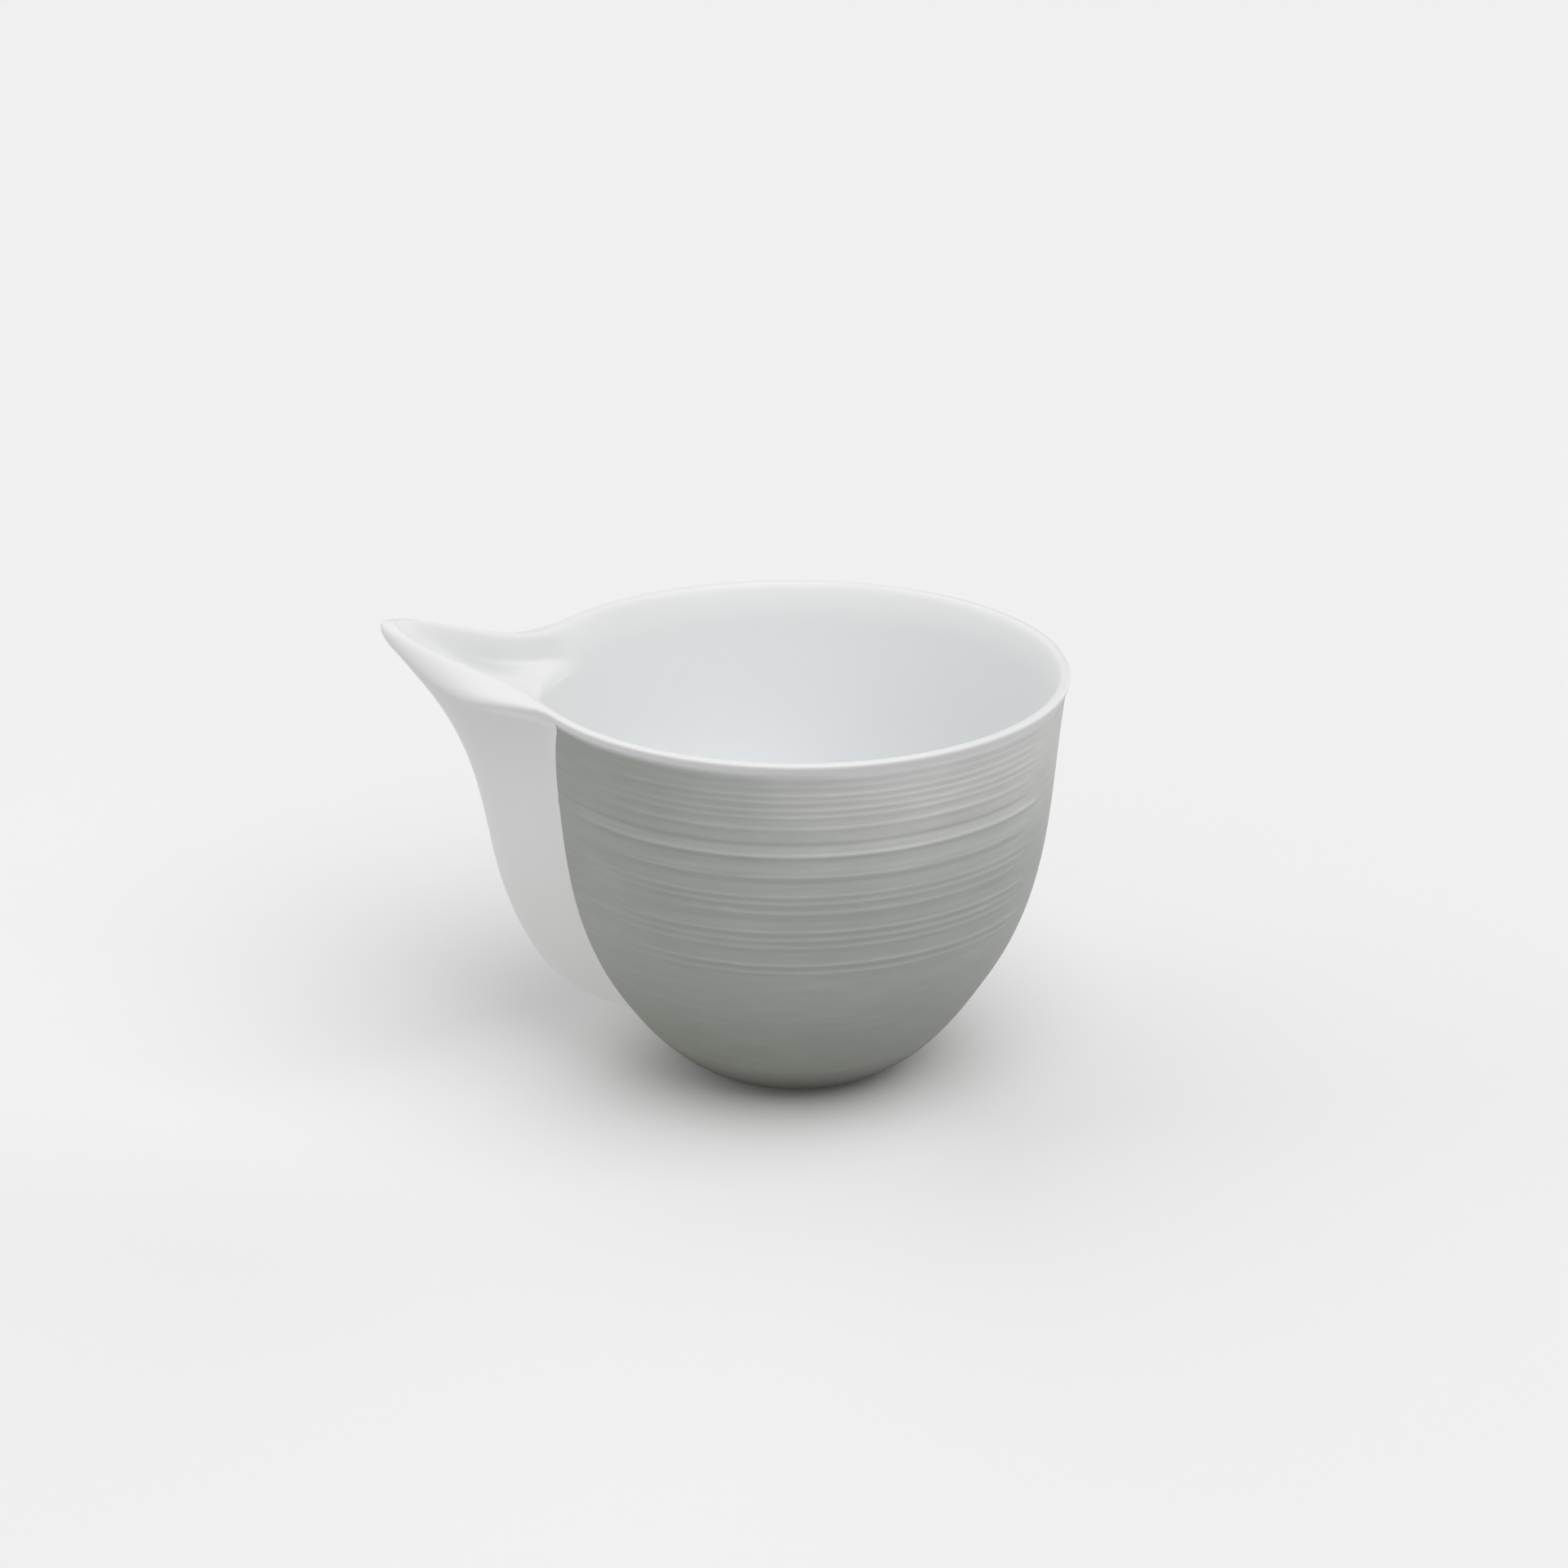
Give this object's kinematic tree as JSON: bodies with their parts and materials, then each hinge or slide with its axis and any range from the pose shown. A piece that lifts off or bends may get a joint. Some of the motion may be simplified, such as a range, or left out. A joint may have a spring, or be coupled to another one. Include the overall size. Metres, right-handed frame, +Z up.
{
  "type": "pouring bowl with beak spout",
  "caption": "Deep round porcelain bowl on a small foot ring, with a beak spout that runs down the wall as a keel and a grey grooved slip coat outside.",
  "frame": {"origin": "under the middle of the whole piece's box, in the plane that the foot ring stands on; the bowl's axis is 11.6 mm from it at +X", "axes": "+Z up along the bowl's axis, the spout points to -X, and the piece is symmetric about the XZ plane"},
  "size_m": [0.113, 0.09, 0.0774],
  "materials": {
    "white_glazed_porcelain": "clear glossy glaze on white porcelain",
    "white_spout_porcelain": "clear satin glaze on white porcelain",
    "grey_slip": "unglazed grey slip with fine turned grooves"
  },
  "bodies": {
    "root": {"bowl": "white_glazed_porcelain", "spout": "white_spout_porcelain", "grey_coat": "grey_slip"}
  },
  "joints": []
}
